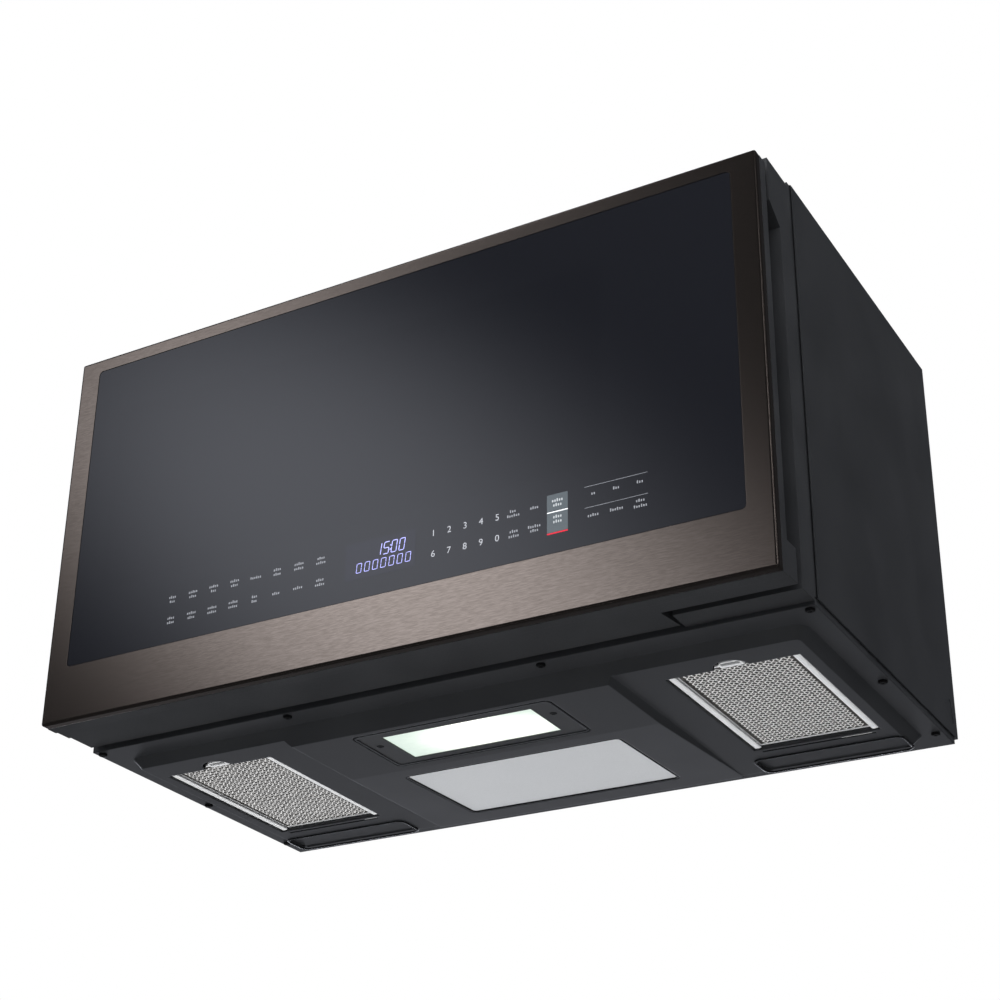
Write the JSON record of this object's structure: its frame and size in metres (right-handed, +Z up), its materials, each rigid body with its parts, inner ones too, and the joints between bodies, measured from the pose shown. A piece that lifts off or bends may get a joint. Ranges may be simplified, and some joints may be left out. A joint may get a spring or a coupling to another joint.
{
  "type": "over the range microwave oven",
  "caption": "Wall-hung microwave oven with a side-hinged glass door, turntable cavity, hood blower, and an underside with grease filters and a cooktop lamp.",
  "frame": {"origin": "on the back face, midway between the two hook slots", "axes": "+X to the right as a person faces the door, +Y back to the wall, +Z up"},
  "size_m": [0.759, 0.445, 0.4375],
  "materials": {
    "stainless": "brushed, warm grey",
    "glass_dark": "dark tempered glass, polished",
    "glass_clear": "clear",
    "lens": "frosted, pale",
    "black_paint": "black, satin",
    "grey_plastic": "dark grey, fine grain",
    "black_plastic": "black",
    "galvanised": "zinc grey",
    "cavity_enamel": "grey enamel, speckled",
    "plate_grey": "silver grey, satin",
    "aluminium": "bright mill finish",
    "mesh": "layered woven mesh",
    "screw_steel": "zinc plated",
    "carbon": "loose granules under fleece",
    "board_green": "solder mask",
    "display_black": "smoked",
    "lamination": "varnished laminations",
    "white_plastic": "white",
    "mica": "pressed mica",
    "tray_glass": "clear, moulded"
  },
  "bodies": {
    "body": {"back_plate": "galvanised", "base_plate": "black_paint", "blower_housing": "galvanised", "blower_motor": "lamination", "cabinet_wrap": "black_paint", "capacitor": "aluminium", "cavity_lamp": "galvanised", "charcoal_filter": "carbon", "component_tray": "galvanised", "convection_heater": "lamination", "convection_housing": "galvanised", "convection_motor": "lamination", "cooling_fan_motor": "lamination", "cord_gland": "black_plastic", "fan_bracket": "galvanised", "front_frame": "grey_plastic", "hinge_brackets": "galvanised", "hinge_pins": "screw_steel", "interlock_switches": "black_plastic", "label_plate": "plate_grey", "lamp_board": "white_plastic", "lamp_cover": "black_paint", "lamp_housing": "white_plastic", "lamp_lens": "lens", "latch_board": "black_plastic", "magnetron": "aluminium", "noise_filter": "board_green", "oven_cavity": "cavity_enamel", "transformer": "lamination", "turntable_motor": "galvanised", "vent_grille": "black_plastic", "waveguide": "galvanised", "waveguide_cover": "mica"},
    "door": {"door_bezel": "stainless", "door_glass": "glass_dark", "door_frame": "grey_plastic", "inner_panel": "black_paint", "choke_cover": "black_plastic", "door_screen": "black_paint", "inner_pane": "glass_clear", "touch_board": "board_green", "display_module": "display_black", "control_board": "board_green"},
    "latch": {"latch_hooks": "white_plastic", "latch_spring": "screw_steel"},
    "turntable": {"turntable_coupler": "white_plastic"},
    "tray": {"glass_tray": "tray_glass"},
    "roller_ring": {"roller_ring": "white_plastic"},
    "roller_1": {"roller_1": "white_plastic"},
    "roller_2": {"roller_2": "white_plastic"},
    "roller_3": {"roller_3": "white_plastic"},
    "cooling_fan": {"cooling_fan": "white_plastic"},
    "convection_fan": {"convection_fan": "galvanised"},
    "blower_wheels": {"blower_wheels": "galvanised"},
    "filter_left": {"filter_frame_left": "aluminium", "filter_mesh_left": "mesh"},
    "filter_right": {"filter_frame_right": "aluminium", "filter_mesh_right": "mesh"}
  },
  "joints": [
    {"name": "door_hinge", "type": "hinge", "parent": "body", "child": "door", "pos_m": [-0.368, -0.413, 0], "axis": [0, 0, -1], "range_deg": [0, 105]},
    {"name": "latch_slide", "type": "slide", "parent": "door", "child": "latch", "axis": [0, 0, 1], "range_m": [0, 0.004], "stiffness_N_per_m": 300, "springref_m": -0.005, "deforming": ["latch_spring"]},
    {"name": "turntable_spin", "type": "hinge", "parent": "body", "child": "turntable", "pos_m": [-0.057, -0.234, 0], "axis": [0, 0, 1], "continuous": true},
    {"name": "tray_lift", "type": "slide", "parent": "turntable", "child": "tray", "axis": [0, 0, 1], "range_m": [0, 0.05]},
    {"name": "roller_ring_spin", "type": "hinge", "parent": "body", "child": "roller_ring", "pos_m": [-0.057, -0.234, 0], "axis": [0, 0, 1], "continuous": true},
    {"name": "roller_1_spin", "type": "hinge", "parent": "roller_ring", "child": "roller_1", "pos_m": [0.048, -0.234, 0.0378], "axis": [1, 0, 0], "continuous": true},
    {"name": "roller_2_spin", "type": "hinge", "parent": "roller_ring", "child": "roller_2", "pos_m": [-0.1095, -0.14307, 0.0378], "axis": [-0.5, 0.866, 0], "continuous": true},
    {"name": "roller_3_spin", "type": "hinge", "parent": "roller_ring", "child": "roller_3", "pos_m": [-0.1095, -0.32493, 0.0378], "axis": [-0.5, -0.866, 0], "continuous": true},
    {"name": "cooling_fan_spin", "type": "hinge", "parent": "body", "child": "cooling_fan", "pos_m": [0.3016, 0, 0.2075], "axis": [0, 1, 0], "continuous": true},
    {"name": "convection_fan_spin", "type": "hinge", "parent": "body", "child": "convection_fan", "pos_m": [-0.057, 0, 0.163], "axis": [0, 1, 0], "continuous": true},
    {"name": "blower_spin", "type": "hinge", "parent": "body", "child": "blower_wheels", "pos_m": [0, -0.058, 0.3455], "axis": [1, 0, 0], "continuous": true},
    {"name": "filter_left_drop", "type": "slide", "parent": "body", "child": "filter_left", "axis": [0, 0, -1], "range_m": [0, 0.04]},
    {"name": "filter_right_drop", "type": "slide", "parent": "body", "child": "filter_right", "axis": [0, 0, -1], "range_m": [0, 0.04]}
  ],
  "couplings": [
    {"joint": "roller_ring_spin", "follows": "turntable_spin", "ratio": 0.5},
    {"joint": "roller_1_spin", "follows": "turntable_spin", "ratio": -5.8333},
    {"joint": "roller_2_spin", "follows": "turntable_spin", "ratio": -5.8333},
    {"joint": "roller_3_spin", "follows": "turntable_spin", "ratio": -5.8333}
  ]
}
